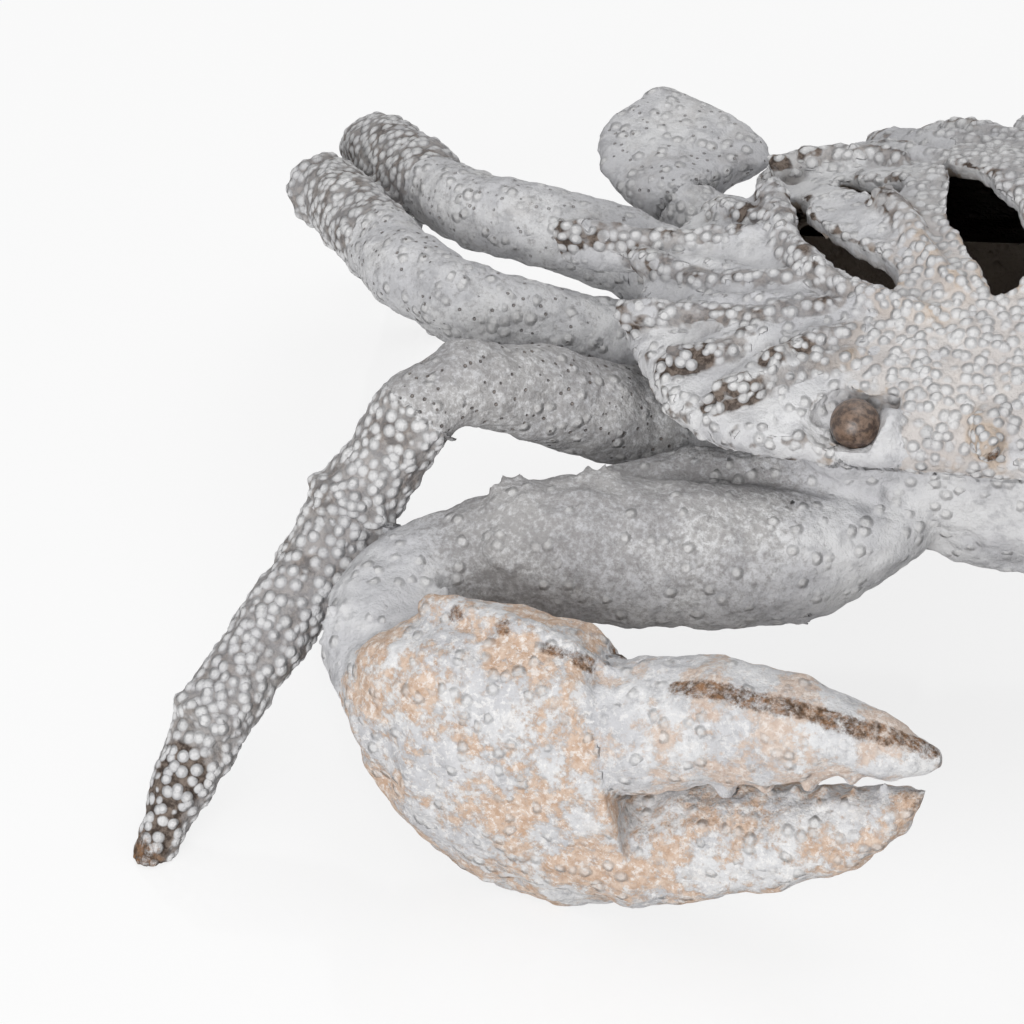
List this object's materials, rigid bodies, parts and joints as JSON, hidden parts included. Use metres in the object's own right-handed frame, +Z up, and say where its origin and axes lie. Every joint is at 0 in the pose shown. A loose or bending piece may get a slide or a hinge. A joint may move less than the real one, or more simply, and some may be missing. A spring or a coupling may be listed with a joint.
{
  "type": "crab figurine",
  "caption": "Whitewashed resin swimming crab figurine with an openwork hollow shell, jointed legs, flat rear paddles and big half open claws.",
  "frame": {"origin": "on the table under the middle of the figure's box", "axes": "+Z up, the crab faces -Y, X runs across its width from its right claw to its left claw"},
  "size_m": [0.3276, 0.1956, 0.086],
  "materials": {
    "whitewashed_shell": "cast polyresin, brown stain in the grain, dry white wash over it",
    "whitewashed_body": "cast polyresin with a thin white wash",
    "whitewashed_claw": "cast polyresin with a worn white wash over tan and brown",
    "whitewashed_leg": "cast polyresin, brown stain in the grain, white wash",
    "eye_glaze": "brown painted bead with a satin clear coat",
    "steel_wire": "plain drawn wire"
  },
  "bodies": {
    "root": {"carapace": "whitewashed_shell", "underbody": "whitewashed_body", "eye_stalk_right": "whitewashed_body", "eye_stalk_left": "whitewashed_body", "eye_bead_right": "eye_glaze", "eye_bead_left": "eye_glaze", "claw_arm_right": "whitewashed_body", "claw_arm_left": "whitewashed_body", "claw_wrist_right": "whitewashed_body", "claw_wrist_left": "whitewashed_body", "claw_palm_right": "whitewashed_claw", "claw_palm_left": "whitewashed_claw", "claw_finger_right": "whitewashed_claw", "claw_finger_left": "whitewashed_claw", "front_leg_upper_right": "whitewashed_leg", "front_leg_upper_left": "whitewashed_leg", "front_leg_lower_right": "whitewashed_leg", "front_leg_lower_left": "whitewashed_leg", "middle_leg_upper_right": "whitewashed_leg", "middle_leg_upper_left": "whitewashed_leg", "middle_leg_lower_right": "whitewashed_leg", "middle_leg_lower_left": "whitewashed_leg", "rear_leg_upper_right": "whitewashed_leg", "rear_leg_upper_left": "whitewashed_leg", "rear_leg_lower_right": "whitewashed_leg", "rear_leg_lower_left": "whitewashed_leg", "swim_leg_upper_right": "whitewashed_leg", "swim_leg_upper_left": "whitewashed_leg", "swim_paddle_right": "whitewashed_leg", "swim_paddle_left": "whitewashed_leg", "leg_pins": "steel_wire", "claw_pins": "steel_wire"}
  },
  "joints": []
}
